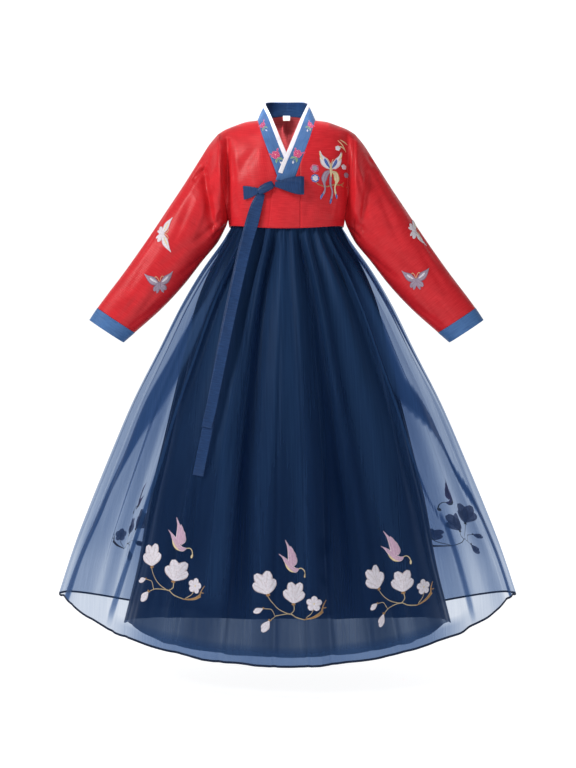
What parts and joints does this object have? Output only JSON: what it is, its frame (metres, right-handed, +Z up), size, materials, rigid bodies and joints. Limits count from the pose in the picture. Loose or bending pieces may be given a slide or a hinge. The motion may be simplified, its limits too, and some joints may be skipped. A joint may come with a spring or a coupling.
{
  "type": "korean hanbok",
  "caption": "Short wrapped jacket with a ribbon tie over a long gathered skirt of sheer organza and lining, worn form, open at neck, cuffs and hem.",
  "frame": {"origin": "midway between the shoulders at the height of the side of the neck, where the wearer holds the garment up", "axes": "+Z up, +X towards the wearer's left, the front faces -Y"},
  "size_m": [1.1685, 0.6339, 1.3932],
  "materials": {
    "jacket_satin": "red slubbed silk-like satin",
    "collar_satin": "mid blue satin",
    "ribbon_satin": "navy satin",
    "edging_cotton": "white starched cotton",
    "organza": "sheer navy organza",
    "lining": "navy lining cloth",
    "label_satin": "blank white satin"
  },
  "bodies": {
    "root": {"jacket_front_left": "jacket_satin", "jacket_front_right": "jacket_satin", "jacket_gusset": "jacket_satin", "jacket_back_left": "jacket_satin", "jacket_back_right": "jacket_satin", "sleeve_left": "jacket_satin", "sleeve_right": "jacket_satin", "cuff_left": "collar_satin", "cuff_right": "collar_satin", "collar": "collar_satin", "collar_edging": "edging_cotton", "neck_label": "label_satin", "bow_knot": "ribbon_satin", "bow_loop": "ribbon_satin", "bow_end": "ribbon_satin", "ribbon_tail_long": "ribbon_satin", "ribbon_tail_short": "ribbon_satin", "skirt_band": "ribbon_satin", "organza_front": "organza", "organza_back_left": "organza", "organza_back_right": "organza", "organza_hem": "ribbon_satin", "lining_front": "lining", "lining_back": "lining"}
  },
  "joints": []
}
